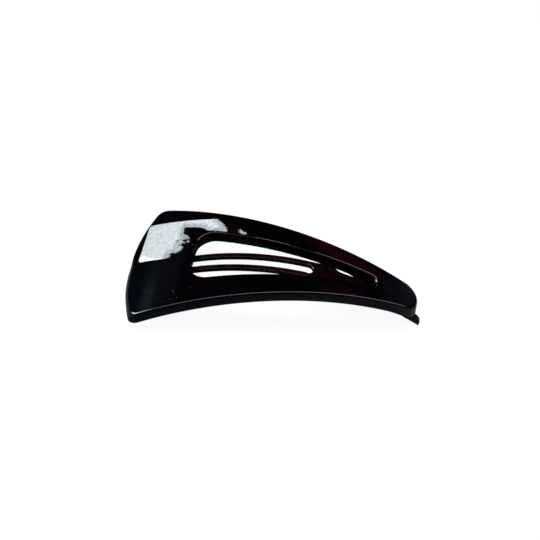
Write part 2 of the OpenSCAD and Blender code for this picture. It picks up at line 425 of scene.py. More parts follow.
def red_brown_plastic():
    """The tongue's thinner plastic, which lets wine red through, less at the pad and most at the tab."""
    tongue, looks = settings("tongue", "finish")
    finish, surface, place = new_finish("red brown plastic", Specular_IOR_Level=0.22, IOR=1.49)
    cloud = place.grain(0.45, 4.0, 0.65, 0.8)
    grain = place.times((0.6, 1.6, 1.0)).grain(1.4, 4.0, 0.65)
    along, _, _ = place.split()
    pad_x = rest_place(hinge_place()[0] + tongue.pad_place, 0)[0] / MM
    thin = 1.0 - along.eased(pad_x - 4.5, pad_x - 1.5) * 0.75 + along.eased(37.0, 39.5) * 0.9
    clear = (cloud.eased(0.34, 0.66) * (0.5 + grain * 0.9) * thin).held()
    hairs = place.times((0.4, 5.0, 1.0)).grain(3.0, 3.0, 0.6)
    feed(
        surface,
        Base_Color=blend(clear, tint(looks.brown), tint(looks.wine)),
        Roughness=0.10 + place.grain(0.6, 3.0, 0.6) * 0.10,
    )
    raise_grain(surface, hairs + grain * 2.0, 0.004 * MM, 0.6)
    return finish


def label_paper():
    """Torn paper: a whole, smooth face in one corner and a mottled, fibrous inner layer elsewhere."""
    looks = settings("finish")
    finish, surface, place = new_finish("label paper", Roughness=0.92, Specular_IOR_Level=0.2)
    torn, whole = (
        Wire.node(place.tree, "ShaderNodeAttribute", output="Fac", attribute_name=name)
        for name in ("torn", "whole")
    )
    mottle = place.grain(1.0, 6.0, 0.75, 0.4)
    fine = place.grain(5.0, 4.0, 0.7, 0.8)
    threads = place.times((2.2, 0.7, 1.0)).grain(2.2, 4.0, 0.66, 1.6)
    shade = mottle.eased(0.36, 0.62) * 0.48 + fine.eased(0.38, 0.62) * 0.52
    body = blend(shade, tint(looks.paper, 0.50), tint(looks.paper))
    # Darker grey near the torn edges, broken up by the threads and the mottle
    ragged = (torn * 1.5 - mottle * 0.5).held() * (1.0 - threads.eased(0.44, 0.56))
    torn_edge_dark = (0.14 * looks.paper[0], 0.16 * looks.paper[1], 0.19 * looks.paper[2])
    feed(surface, Base_Color=blend(whole, blend(ragged, body, tint(torn_edge_dark)), tint(looks.face)))
    height = (threads * 0.7 + fine * 0.5 + mottle * 0.6) * (1.0 - whole * 0.85)
    raise_grain(surface, height, 0.10 * MM, 0.9)
    return finish


def pin_steel():
    """Plain drawn wire."""
    looks = settings("finish")
    finish, surface, place = new_finish("pin steel", Metallic=1.0)
    drawn = place.times((9.0, 0.5, 9.0)).grain(1.0, 4.0, 0.6)
    hue = blend(drawn, tint(looks.steel, 0.75), tint(looks.steel))
    feed(surface, Base_Color=hue, Roughness=0.26 + drawn * 0.2)
    raise_grain(surface, drawn, 0.006 * MM, 0.6)
    return finish


def speck_dust():
    """Dry, dull specks of dust."""
    looks = settings("finish")
    finish, surface, place = new_finish("speck dust", Roughness=0.95, Specular_IOR_Level=0.1)
    mixed = place.grain(5.0, 3.0, 0.6)
    feed(surface, Base_Color=blend(mixed, tint(looks.dust), tint(looks.dust, 1.7)))
    raise_grain(surface, mixed, 0.02 * MM)
    return finish


def pale_table():
    """Matt pale table, lit a little from below. What it throws back at the clip is held down, more
    under the clip than beyond its two ends."""
    looks = settings("finish")
    finish, surface, place = new_finish(
        "pale table", Roughness=0.75, Specular_IOR_Level=0.25, Emission_Strength=1.06
    )
    fleck = place.grain(0.6, 4.0, 0.6)
    shade = (fleck * 0.5 + place.grain(0.004, 2.0, 0.5) * 0.5).held()
    feed(
        surface,
        Emission_Color=blend(shade, tint(looks.table, 0.97), tint(looks.table)),
        Base_Color=blend(shade, tint(looks.table, 0.06), tint(looks.table, 0.07)),
    )
    raise_grain(surface, fleck, 0.01 * MM, 0.3)
    along, _, _ = place.split()
    ends = ((-along).eased(38.5, 41.5) + along.eased(37.0, 40.0) * 0.6).held()
    dim = blend(along.eased(-30.0, 20.0), (0.060, 0.086, 0.115, 1), (0.115, 0.115, 0.155, 1))
    thrown = Wire.node(
        place.tree,
        "ShaderNodeBsdfPrincipled",
        {"Base Color": blend(ends, dim, (0.24, 0.26, 0.27, 1)), "Roughness": 0.9, "Specular IOR Level": 0.0},
    )
    seen = Wire.node(place.tree, "ShaderNodeLightPath", output="Is Camera Ray")
    both = Wire.node(place.tree, "ShaderNodeMixShader", {0: seen, 1: thrown, 2: Wire(surface.outputs[0])})
    Wire.plug(place.tree.nodes["Material Output"].inputs["Surface"], both)
    return finish


def finish_from(maker):
    """The finish that a maker gives, made the first time it is asked for."""
    return bpy.data.materials.get(maker.__name__.replace("_", " ")) or maker()


def frame_bow():
    """Radius of the frame's bow to its top face, and its axis' place along the clip and height."""
    clip = settings("frame")
    return clip.bow, 0.0, -clip.bow


def tongue_bow():
    """The same for the tongue's tighter bow."""
    tongue = settings("tongue")
    return tongue.bow, tongue.crest, -tongue.drop - tongue.bow


def height_on(bow, x, above=0.0):
    """Height of a bow's face, or of a place above it, over a place along the clip."""
    radius, axis_x, axis_z = bow
    radius += above
    return axis_z + math.sqrt(radius * radius - (x - axis_x) ** 2)


def rest():
    """Turn about the cross axis, and move along and up, that rest the clip on the table."""
    clip, tongue = settings("frame", "tongue")
    wide_x = -clip.length / 2
    tab_x = clip.length / 2 + tongue.tab_reach
    tab_z = height_on(tongue_bow(), tab_x, -tongue.thick)
    foot_z = height_on(frame_bow(), wide_x, -clip.thick)
    top_z = height_on(frame_bow(), wide_x)
    turn = math.atan2(tab_z - foot_z, tab_x - wide_x)
    first_x = wide_x * math.cos(turn) + top_z * math.sin(turn)
    last_x = tab_x * math.cos(turn) + tab_z * math.sin(turn)
    table_z = foot_z * math.cos(turn) - wide_x * math.sin(turn)
    return turn, (-(first_x + last_x) / 2, -table_z)


def arc(centre, radius, start, end, steps):
    """Points along an arc, both ends included; the angles are in degrees."""
    points = []
    for i in range(steps + 1):
        a = math.radians(start + (end - start) * i / steps)
        points.append(Vector((centre[0] + radius * math.cos(a), centre[1] + radius * math.sin(a))))
    return points


def mirrored(half):
    """A closed outline from its half on the far side of the centre line."""
    near = [Vector((p.x, -p.y)) for p in reversed(half) if p.y > 1e-9]
    return half + near


def teardrop(first, last, width, flat, corner, bulge, tip, waist, fine=1.0):
    """Outline of the frame or its opening: a wide end, two corners, long edges and a round tip."""
    side_y = width / 2 - corner
    rise = side_y - flat / 2
    end_x = first + bulge
    side_x = end_x - math.sqrt((bulge - corner) ** 2 - rise * rise)
    tip_x = last - tip
    span = Vector((tip_x - side_x, -side_y))
    edge_a = 90 - math.degrees(math.atan2(side_y, span.x))
    edge_a += math.degrees(math.asin((tip - corner) / span.length))
    meet_a = math.degrees(math.atan2(rise, side_x - end_x))
    out = Vector((math.cos(math.radians(edge_a)), math.sin(math.radians(edge_a))))
    start = Vector((side_x, side_y)) + out * corner
    stop = Vector((tip_x, 0)) + out * tip
    steps = int(90 * fine)
    flat_steps = max(2, int(flat / FLAT_STEP))
    half = [Vector((first, flat / 2 * i / flat_steps)) for i in range(flat_steps)]
    half += arc((end_x, flat / 2), bulge, 180, meet_a, int(24 * fine))
    half += arc((side_x, side_y), corner, meet_a, edge_a, int(20 * fine))[1:]
    for i in range(1, steps):
        u = i / steps
        half.append(start.lerp(stop, u) - out * (4 * waist * u * (1 - u)))
    half += arc((tip_x, 0), tip, edge_a, 0, int(30 * fine))
    half[-1].y = 0
    return mirrored(half)


def signed_area(points):
    """Twice the area inside a closed outline, positive where it turns to the left."""
    total = 0
    for p, q in zip(points, points[1:] + points[:1]):
        total += p.x * q.y - q.x * p.y
    return total


def outward(points):
    """Directions square to a closed outline at each of its points."""
    found = []
    count = len(points)
    for i in range(count):
        before = (points[i] - points[i - 1]).normalized()
        after = (points[(i + 1) % count] - points[i]).normalized()
        along = (before + after).normalized()
        square = Vector((along.y, -along.x))
        reach = max(0.5, along.dot(after))
        found.append(square / reach)
    return found


def edge_rings(soft, under_soft, thick, steps):
    """Insets and depths of the rings that round a plate's edge, from its top face to its under face."""
    rings = [(soft + EDGE_MARGIN, 0.0)]
    for i in range(steps + 1):
        a = math.radians(90 - 90 * i / steps)
        rings.append((soft * (1 - math.cos(a)), soft * (1 - math.sin(a))))
    rings.append((0.0, (soft + thick - under_soft) / 2))
    for i in range(steps + 1):
        a = math.radians(90 * i / steps)
        rings.append((under_soft * (1 - math.cos(a)), thick - under_soft * (1 - math.sin(a))))
    rings.append((under_soft + EDGE_MARGIN, thick))
    return rings


def slice_faces(mesh, faces, places, direction):
    """Cuts flat faces across at each place, so that they can follow a curve."""
    geometry = list(faces)
    geometry += dict.fromkeys(e for f in faces for e in f.edges)
    geometry += dict.fromkeys(v for f in faces for v in f.verts)
    for place in places:
        plane = {"plane_co": direction * place, "plane_no": direction}
        geometry = bmesh.ops.bisect_plane(mesh, geom=geometry, dist=MERGE, **plane)["geom"]


def spaced(places, step):
    """Evenly spaced places between the lowest and the highest of some."""
    low = min(places)
    high = max(places)
    count = max(1, int((high - low) / step))
    return [low + (high - low) * (i + 0.5) / count for i in range(count)]


def join_columns(mesh, columns, closed=False):
    """Faces between columns of points that stand in a ring, each column open or itself a closed
    ring. Gives the pairs of neighbours."""
    pairs = list(zip(columns, columns[1:] + columns[:1]))
    for a, b in pairs:
        for i in range(len(a) if closed else len(a) - 1):
            j = (i + 1) % len(a)
            mesh.faces.new((a[i], a[j], b[j], b[i]))
    return pairs


def plate(name, outline, holes, thick, soft, under_soft, steps=7, top=0.0, flare=None):
    """Closed flat plate with rounded edges. Soft is the top edge's radius, or gives it for a place on
    loop 0, the outline, or on a hole. Flare gives how far the foot of the wall stands out there."""
    mesh = bmesh.new()
    caps = ([], [])
    for number, loop in enumerate([outline] + holes):
        points = list(loop)
        if (signed_area(points) > 0) != (number == 0):
            points.reverse()
        columns = []
        for point, out in zip(points, outward(points)):
            radius = soft(point, number) if callable(soft) else soft
            lean = flare(point, number) / thick if flare else 0
            column = []
            for inset, depth in edge_rings(radius, under_soft, thick, steps):
                place = point - out * (inset - lean * depth)
                column.append(mesh.verts.new((place.x, place.y, top - depth)))
            columns.append(column)
        for a, b in join_columns(mesh, columns):
            caps[0].append(mesh.edges.get((a[0], b[0])))
            caps[1].append(mesh.edges.get((a[-1], b[-1])))
    for edges, up in zip(caps, (1, -1)):
        faces = fill_faces(name, mesh, edges, up)
        places = spaced([v.co.x for f in faces for v in f.verts], PLATE_SLICE)
        slice_faces(mesh, faces, places, Vector((1, 0, 0)))
    return finished_mesh(name, mesh)


def fill_faces(name, mesh, edges, up):
    """Flat faces inside closed rings of edges."""
    filled = bmesh.ops.triangle_fill(mesh, use_beauty=True, edges=edges, normal=(0, 0, up))
    faces = [g for g in filled["geom"] if isinstance(g, bmesh.types.BMFace)]
    if not faces:
        raise RuntimeError(f"{name}: a flat face could not be filled")
    return faces


def finished_mesh(name, mesh, closed=True):
    """An object made of a finished mesh, in the scene, with its faces outwards where it is closed."""
    if closed:
        bmesh.ops.recalc_face_normals(mesh, faces=mesh.faces[:])
    data = bpy.data.meshes.new(name)
    mesh.to_mesh(data)
    mesh.free()
    data.polygons.foreach_set("use_smooth", [True] * len(data.polygons))
    thing = bpy.data.objects.new(name, data)
    bpy.context.scene.collection.objects.link(thing)
    return thing


def remove(thing):
    """Removes an object and its mesh."""
    old = thing.data
    bpy.data.objects.remove(thing)
    bpy.data.meshes.remove(old)


def realised(thing):
    """Turns a piece's modifiers into a plain mesh."""
    view = bpy.context.evaluated_depsgraph_get()
    data = bpy.data.meshes.new_from_object(thing.evaluated_get(view))
    old = thing.data
    thing.modifiers.clear()
    thing.data = data
    if old.users == 0:
        bpy.data.meshes.remove(old)
    data.name = thing.name
    while len(data.materials) > 1 and data.materials[0] is None:
        data.materials.pop(index=0)
    return thing


def run_tree(thing, tree, values):
    """Runs a node tree on a piece with its named inputs set, and keeps the result."""
    modifier = thing.modifiers.new(tree.name, "NODES")
    modifier.node_group = tree
    for item in tree.interface.items_tree:
        if item.item_type == "SOCKET" and item.in_out == "INPUT" and item.name in values:
            modifier[item.identifier] = values[item.name]
    return realised(thing)


def new_tree(name, inputs):
    """A node tree for shapes, its named inputs as wires, and a maker of its nodes."""
    tree = bpy.data.node_groups.new(name, "GeometryNodeTree")
    tree.interface.new_socket("Geometry", in_out="OUTPUT", socket_type="NodeSocketGeometry")
    for label, (kind, description) in {"Geometry": ("Geometry", "What is reshaped"), **inputs}.items():
        made = tree.interface.new_socket(label, in_out="INPUT", socket_type="NodeSocket" + kind)
        made.description = description
    source = tree.nodes.new("NodeGroupInput")
    return tree, {out.name: Wire(out) for out in source.outputs if out.name}, partial(Wire.node, tree)


def end_tree(tree, shape, material):
    """Ends a tree: instances made real, and the material set."""
    real = Wire.node(tree, "GeometryNodeRealizeInstances", {"Geometry": shape})
    dressed = Wire.node(tree, "GeometryNodeSetMaterial", {"Geometry": real, "Material": material})
    Wire.plug(tree.nodes.new("NodeGroupOutput").inputs["Geometry"], dressed)
    return tree


def bow_tree():
    """Tree that bends a flat plate to a bow across the clip and rests it on the table."""
    found = bpy.data.node_groups.get("bow and rest")
    if found:
        return found
    inputs = {
        "Radius": ("Float", "Radius of the bow, to the plate's top face"),
        "Axis along": ("Float", "Place of the bow's axis along the clip"),
        "Axis height": ("Float", "Height of the bow's axis"),
        "Turn": ("Vector", "Turn that rests the clip on the table"),
        "Move": ("Vector", "Move that rests the clip on the table"),
        "Material": ("Material", "Finish of the piece"),
    }
    tree, given, add = new_tree("bow and rest", inputs)
    x, y, z = add("GeometryNodeInputPosition").split()
    radius = given["Radius"] + z
    ahead = x - given["Axis along"]
    height = given["Axis height"] + (radius * radius - ahead * ahead).root()
    place = add("ShaderNodeCombineXYZ", {0: x, 1: y, 2: height})
    bent = add("GeometryNodeSetPosition", {"Geometry": given["Geometry"], "Position": place})
    moves = {"Geometry": bent, "Translation": given["Move"], "Rotation": given["Turn"]}
    return end_tree(tree, add("GeometryNodeTransform", moves), given["Material"])


def bend(thing, bow, material):
    """Bends a flat piece to a bow, rests it and gives it its finish."""
    turn, move = rest()
    radius, axis_x, axis_z = bow
    values = {
        "Radius": radius,
        "Axis along": axis_x,
        "Axis height": axis_z,
        "Turn": (0.0, turn, 0.0),
        "Move": (move[0], 0.0, move[1]),
        "Material": material,
    }
    return run_tree(thing, bow_tree(), values)


def rest_matrix():
    """The same rest as a matrix, for pieces that aren't bent."""
    turn, move = rest()
    return Matrix.Translation((move[0], 0, move[1])) @ Matrix.Rotation(turn, 4, "Y")


def clamped(share):
    """A share kept between 0 and 1."""
    return min(1, max(0, share))


def smooth_step(low, high, value):
    """0 at low, 1 at high and smooth between."""
    share = clamped((value - low) / (high - low))
    return share * share * (3 - 2 * share)


def hinge_place():
    """Place of the hinge axis along the clip and its height, in the clip's own level frame."""
    clip, tongue = settings("frame", "tongue")
    x = -clip.length / 2 + clip.open_inset - tongue.hinge_inset
    return x, height_on(tongue_bow(), x, -tongue.thick)


def tongue_outline(start, grow=0.0, fill=0.0):
    """Outline of the tongue from a place along the clip to the tab's end: ribs, pad, neck, head and
    tab, with all edges moved out by grow, and the ribs' and neck's by fill as well."""
    clip, tongue = settings("frame", "tongue")
    hinge_x, _ = hinge_place()
    tab_x = clip.length / 2 + tongue.tab_reach
    round_x = tab_x - tongue.tab_corner
    pad_start = hinge_x + tongue.pad_place - tongue.pad_length / 2
    pad_end = hinge_x + tongue.pad_place + tongue.pad_length / 2
    head_x = hinge_x + tongue.head_place
    shoulder_x = tab_x - tongue.shoulder_inset
    ribs = tongue.ribs / 2 + fill

    def half_width(x):
        swell = smooth_step(pad_start - PAD_RISE, pad_start - PAD_EASE, x)
        width = ribs + (tongue.pad / 2 - ribs) * swell
        fall = smooth_step(pad_end + PAD_EASE, pad_end + PAD_FALL, x)
        width += (tongue.neck / 2 + fill - width) * fall
        step = smooth_step(head_x - tongue.head_step, head_x, x)
        width += ((tongue.head - tongue.neck) / 2 - fill) * step
        width -= (tongue.head - tongue.shoulder) / 2 * clamped((x - head_x) / (shoulder_x - head_x))
        narrowed = clamped((x - shoulder_x) / (round_x - shoulder_x)) ** TAB_CURVE
        width -= (tongue.shoulder - tongue.tab) / 2 * narrowed
        return width + grow

    steps = int((round_x - start) / OUTLINE_STEP)
    places = [start + (round_x - start) * i / steps for i in range(steps)]
    half = [Vector((start, half_width(start) * i / 4)) for i in range(4)]
    half += [Vector((x, half_width(x))) for x in places]
    corner_y = tongue.tab / 2 - tongue.tab_corner
    half += arc((round_x, corner_y), tongue.tab_corner + grow, 90, 0, 10)
    half += [Vector((tab_x + grow, corner_y * i / 3)) for i in (2, 1, 0)]
    return mirrored(half)


def slot_outline():
    """Outline of the long slot, square at the hinge and round at its far end."""
    tongue = settings("tongue")
    hinge_x, _ = hinge_place()
    half_width = tongue.slot / 2 - tongue.fill
    corner_y = half_width - SLOT_CORNER
    first = hinge_x + tongue.slot_start
    last = hinge_x + tongue.slot_end - half_width
    corner_x = first + SLOT_CORNER
    steps = int((last - first) / OUTLINE_STEP)
    half = [Vector((first, 0)), Vector((first, corner_y / 2))]
    half += arc((corner_x, corner_y), SLOT_CORNER, 180, 90, 5)
    half += [Vector((corner_x + (last - corner_x) * i / steps, half_width)) for i in range(1, steps)]
    half += arc((last, 0), half_width, 90, 0, 16)
    half[-1].y = 0
    return mirrored(half)


def cut_away(thing, tool):
    """Cuts one closed piece out of another and removes the cutting piece."""
    modifier = thing.modifiers.new("cut", "BOOLEAN")
    modifier.operation = "DIFFERENCE"
    modifier.solver = "EXACT"
    modifier.object = tool
    realised(thing)
    remove(tool)


class ClipMakeFrame(bpy.types.Operator):
    """Make the bowed teardrop frame with its opening, rounded edges and the tongue's shallow bed"""

    bl_idname = "clip.make_frame"
    bl_label = "Make Frame"

    def execute(self, context):
        clip, tongue = settings("frame", "tongue")
        first = -clip.length / 2
        last = clip.length / 2
        open_start = first + clip.open_inset
        open_end = last - clip.open_tip_inset
        outline = teardrop(first, last, clip.wide, clip.flat, clip.corner, clip.bulge, clip.tip, clip.waist)
        opening = teardrop(
            open_start, open_end, clip.open_wide, clip.open_flat, clip.open_corner, clip.open_bulge,
            clip.open_tip, clip.open_waist, 0.8
        )

        def soft(point, loop):
            side = smooth_step(-SIDE_FADE, SIDE_FADE, point.y)
            if loop:
                for low, high in CRISP_STRETCHES:
                    entered = smooth_step(low * MM, (low + CRISP_FADE) * MM, point.x)
                    ahead = smooth_step(-high * MM, (CRISP_FADE - high) * MM, -point.x)
                    side *= 1 - CRISP_DEPTH * entered * ahead
                narrow = smooth_step(open_end - 2.0 * MM, open_end - 0.3 * MM, point.x)
                return clip.crisp + (clip.edge_soft - clip.crisp) * side + clip.end_extra * narrow
            near = 1 - smooth_step(first + 2.0 * MM, first + 6.5 * MM, point.x)
            softer = clip.edge_soft + (clip.end_soft - clip.edge_soft) * near
            return softer + (clip.crisp - softer) * side

        def flare(point, loop):
            if loop:
                narrow = smooth_step(open_end - 8.0 * MM, open_end - 4.8 * MM, point.x)
                wide = 1 - smooth_step(open_start + 1.0 * MM, open_start + 7.0 * MM, point.x)
                return clip.open_slope + clip.narrow_slope * narrow + clip.wide_slope * wide
            return clip.draft * smooth_step(last - 8.5 * MM, last - 2.0 * MM, point.x)

        shell = plate("clip_frame", outline, [opening], clip.thick, soft, clip.under_soft, flare=flare)
        bend(shell, frame_bow(), finish_from(dark_plastic))
        bed_outline = tongue_outline(hinge_place()[0] - tongue.gap, tongue.gap)
        bed = plate("tongue_bed", bed_outline, [], BED_HEIGHT, BED_SOFT, BED_SOFT, 2, tongue.gap)
        bend(bed, tongue_bow(), None)
        cut_away(shell, bed)
        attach(shell, "frame")
        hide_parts("frame")
        return {"FINISHED"}


class ClipMakeTongue(bpy.types.Operator):
    """Make the slotted tongue with its pad, neck and tab, and the barrel that turns on the pin"""

    bl_idname = "clip.make_tongue"
    bl_label = "Make Tongue"

    def execute(self, context):
        tongue = settings("tongue")
        hinge_x, hinge_z = hinge_place()
        round_x = hinge_x + tongue.slot_end - tongue.slot / 2
        outline = tongue_outline(hinge_x + tongue.bore / 2 + BORE_CLEARANCE, fill=tongue.fill)

        def soft(point, loop):
            return tongue.soft + (tongue.slot_soft if loop and point.x > round_x else 0)

        blade = plate("tongue_blade", outline, [slot_outline()], tongue.thick, soft, tongue.soft * 0.8, 6)
        finish = finish_from(red_brown_plastic)
        bend(blade, tongue_bow(), finish)
        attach(blade, "tongue")
        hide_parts("tongue")

        half = tongue.ribs / 2
        outer = tongue.barrel / 2 - BARREL_SOFT
        profile = arc((BARREL_SOFT - half, outer), BARREL_SOFT, 180, 90, 4)
        profile += arc((half - BARREL_SOFT, outer), BARREL_SOFT, 90, 0, 4)
        profile += [Vector((half, tongue.bore / 2)), Vector((-half, tongue.bore / 2))]
        mesh = bmesh.new()
        columns = []
        for i in range(BARREL_TURNS):
            a = 2 * math.pi * i / BARREL_TURNS
            spots = [(hinge_x + p.y * math.cos(a), p.x, hinge_z + p.y * math.sin(a)) for p in profile]
            columns.append([mesh.verts.new(spot) for spot in spots])
        join_columns(mesh, columns, closed=True)
        barrel = finished_mesh("tongue_barrel", mesh)
        barrel.data.set_sharp_from_angle(angle=math.radians(40))
        barrel.data.transform(rest_matrix())
        barrel.data.materials.append(finish)
        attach(barrel, "tongue")
        return {"FINISHED"}


class ClipMakeHinge(bpy.types.Operator):
    """Make the frame's two ears, and give the pin its steel"""

    bl_idname = "clip.make_hinge"
    bl_label = "Make Hinge"

    def execute(self, context):
        clip, tongue = settings("frame", "tongue")
        hinge_x, hinge_z = hinge_place()
        radius = tongue.ear / 2
        stem = height_on(frame_bow(), hinge_x, -clip.thick) + clip.thick / 2 - hinge_z
        outline = arc((0, 0), radius, 180, 360, 28)
        outline += [Vector((radius, stem * i / 5)) for i in range(1, 6)]
        outline += [Vector((-radius, stem * i / 5)) for i in range(5, 0, -1)]
        hole = arc((0, 0), tongue.ear_hole / 2, 0, 360, 32)[:-1]
        near = tongue.ribs / 2 + tongue.gap
        parts = bmesh.new()
        for start in (-near - tongue.ear_thick, near):
            ear = plate("ear", outline, [hole], tongue.ear_thick, EAR_SOFT, EAR_SOFT, 3)
            stand = Matrix.Translation((hinge_x, start, hinge_z)) @ Matrix.Rotation(math.pi / 2, 4, "X")
            ear.data.transform(rest_matrix() @ stand)
            parts.from_mesh(ear.data)
            remove(ear)
        ears = finished_mesh("hinge_ears", parts)
        ears.data.materials.append(finish_from(dark_plastic))
        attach(ears, "frame")
        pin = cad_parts["pivot_pin"]
        if not pin.material_slots:
            raise RuntimeError("the pin has no material slot")
        for holder in pin.material_slots:
            holder.link = "OBJECT"
            holder.material = finish_from(pin_steel)
        return {"FINISHED"}


# Outline of the label's remains in millimetres from its whole corner: the torn side first, up to
# the far end, then the straight cut edges
LABEL_POINTS = [
    (7.4, -0.2), (8.1, 0.0), (8.5, 0.7), (8.0, 1.5), (8.7, 1.7), (9.8, 1.4), (10.4, 1.9),
    (11.1, 2.7), (11.2, 3.7), (10.6, 4.3), (9.8, 4.8), (10.6, 4.9), (11.5, 5.2), (10.9, 6.0),
    (10.3, 6.4), (11.2, 6.6), (12.4, 6.7), (12.1, 7.5), (11.1, 8.4), (10.2, 9.3), (10.35, 10.0),
    (9.9, 11.1), (10.5, 11.6), (12.0, 11.4), (13.9, 11.2), (15.5, 10.7), (16.3, 10.2), (16.9, 9.6),
    (18.4, 9.6), (19.8, 9.5), (21.1, 9.2), (22.2, 9.05), (21.9, 10.1), (21.0, 11.7), (20.15, 12.85),
    (19.45, 13.5), (18.9, 14.2), (0.9, 14.2), (0.3, 13.95), (0.0, 13.3), (0.0, 0.5), (0.15, 0.0),
    (0.6, -0.25),
]
TORN_POINTS = 37
LABEL_SPAN = (22.1, 14.5)
# Direction along which a sheet's faces are listed, so that each run lists them alike
FACE_ORDER = Vector((1.0, 0.37, 0.11))
CRUMBS = [
    [(25.3, 9.7), (25.7, 9.95), (26.1, 9.5), (26.5, 9.2), (27.1, 9.05), (27.5, 8.55), (26.8, 8.4),
     (26.2, 8.4), (25.7, 8.8)],
    [(12.1, 5.9), (12.45, 5.95), (12.6, 5.6), (12.3, 5.4), (12.1, 5.6)],
]
# Flaps that stand up from the torn side: place in the same measure, spread and height
FLAPS = [(11.2, 5.2, 0.8, 0.30), (11.9, 7.0, 1.0, 0.32), (10.0, 2.0, 0.9, 0.14), (10.3, 10.2, 0.7, 0.12)]


def label_point(point):
    """Place in plan of a point given in millimetres from the label's whole corner."""
    clip, label = settings("frame", "label")
    x = -clip.length / 2 + label.inset + point[0] * (label.length / LABEL_SPAN[0])
    return Vector((x, point[1] * (label.width / LABEL_SPAN[1]) - label.near))


def layered(spot, *layers):
    """Soft noise at a spot from several layers, each a strength and a fineness."""
    return sum(strength * noise.noise(spot * fineness) for strength, fineness in layers)


def torn_line(points, torn, seed):
    """Outline with its torn stretch made ragged at several sizes; also the ragged points alone."""
    full = []
    ragged = []
    for i, p in enumerate(points):
        q = points[(i + 1) % len(points)]
        pieces = max(1, int((q - p).length / TORN_STEP))
        along = (q - p).normalized()
        square = Vector((along.y, -along.x))
        for j in range(pieces):
            place = p.lerp(q, j / pieces)
            if i < torn - 1 and (i or j):
                spot = Vector((place.x / MM * 1.1, place.y / MM * 1.1, seed))
                sway = layered(spot, (1.0, 1.0), (0.7, 2.6), (0.4, 6.0))
                place = place - square * (TORN_REACH * (0.35 + sway))
                ragged.append(place)
            full.append(place)
    return full, ragged


def paper_sheet(name, outline, ragged, whole_at, seed):
    """A closed piece of torn paper, still flat, with uneven thickness and flaps that stand up."""
    label = settings("label")
    mesh = bmesh.new()
    torn_layer = mesh.verts.layers.float.new("torn")
    whole_layer = mesh.verts.layers.float.new("whole")
    bottom = [mesh.verts.new((p.x, p.y, label.gap)) for p in outline]
    edges = [mesh.edges.new((a, b)) for a, b in zip(bottom, bottom[1:] + bottom[:1])]
    geometry = fill_faces(name, mesh, edges, -1)
    for axis in (0, 1):
        places = spaced([p[axis] for p in outline], label.cell)
        slice_faces(mesh, geometry, places, Vector((1 - axis, axis, 0)))
        geometry = list(mesh.faces)
    raised = bmesh.ops.extrude_face_region(mesh, geom=geometry)
    for v in (g for g in raised["geom"] if isinstance(g, bmesh.types.BMVert)):
        place = Vector((v.co.x, v.co.y))
        spot = Vector((v.co.x / MM, v.co.y / MM, seed))
        away = min((place - p).length for p in ragged) / MM
        whole = whole_at(place)
        rough = layered(spot, (0.5, 1.3), (0.35, 3.1), (0.2, 6.2))
        torn = 1 - smooth_step(0.1, 2.6, away + 0.9 * noise.noise(spot * 0.9))
        body = label.thick * (0.62 + 0.22 * rough)
        body += label.thick * torn * (0.5 * rough + 0.25 * noise.noise(spot * 2.2))
        body *= 0.35 + 0.65 * smooth_step(0.0, 0.45, away)
        body = body * (1 - whole) + label.thick * whole
        lift = max(0.0, noise.noise(spot * 0.8 + Vector((7, 3, 1)))) * torn * 0.16 * MM
        for x, y, spread, height in FLAPS:
            near = (place - label_point((x, y))).length / (spread * MM)
            lift += height * MM * max(0.0, 1 - near * near) * (0.8 + rough)
        v.co.z = label.gap + max(0.02 * MM, body) + lift * (1 - whole)
        v[torn_layer] = torn
        v[whole_layer] = whole
    mesh.faces.sort(key=lambda face: face.calc_center_median().dot(FACE_ORDER))
    return finished_mesh(name, mesh)


class ClipMakeLabel(bpy.types.Operator):
    """Make the torn remains of the paper price label, its crumbs and the torn fibres"""

    bl_idname = "clip.make_label"
    bl_label = "Make Label"

    def execute(self, context):
        corner = label_point((0.0, 0.0))

        def whole_at(place):
            ahead = (place.x - corner.x) / MM
            beside = (place.y - corner.y) / MM
            wobble = 0.8 * noise.noise(Vector((ahead * 0.8, beside * 0.8, 2.0)))
            return 1 - smooth_step(0.75, 0.95, ahead / 6.4 + beside / 2.6 + wobble * 0.35)

        jobs = [("price_label", LABEL_POINTS, TORN_POINTS, whole_at, 4.0)]
        for number, points in enumerate(CRUMBS):
            name = f"label_crumb_{number + 1}"
            jobs.append((name, points, len(points) + 1, lambda place: 0.0, 9.0 + number))
        paper = finish_from(label_paper)
        edges = []
        for name, points, torn, whole, seed in jobs:
            outline, ragged = torn_line([label_point(p) for p in points], torn, seed)
            edges += ragged
            sheet = paper_sheet(name, outline, ragged, whole, seed)
            bend(sheet, frame_bow(), paper)
            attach(sheet, "frame")
            if name == "price_label":
                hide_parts("label")
        fibres = scatter_fibres(edges, paper)
        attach(fibres, "frame")
        return {"FINISHED"}


def random_vector(low, high, seed):
    """A vector drawn anew for each point, between two vectors."""
    draw = {0: low, 1: high, "Seed": seed}
    return Wire.node(seed.tree, "FunctionNodeRandomValue", draw, data_type="FLOAT_VECTOR")


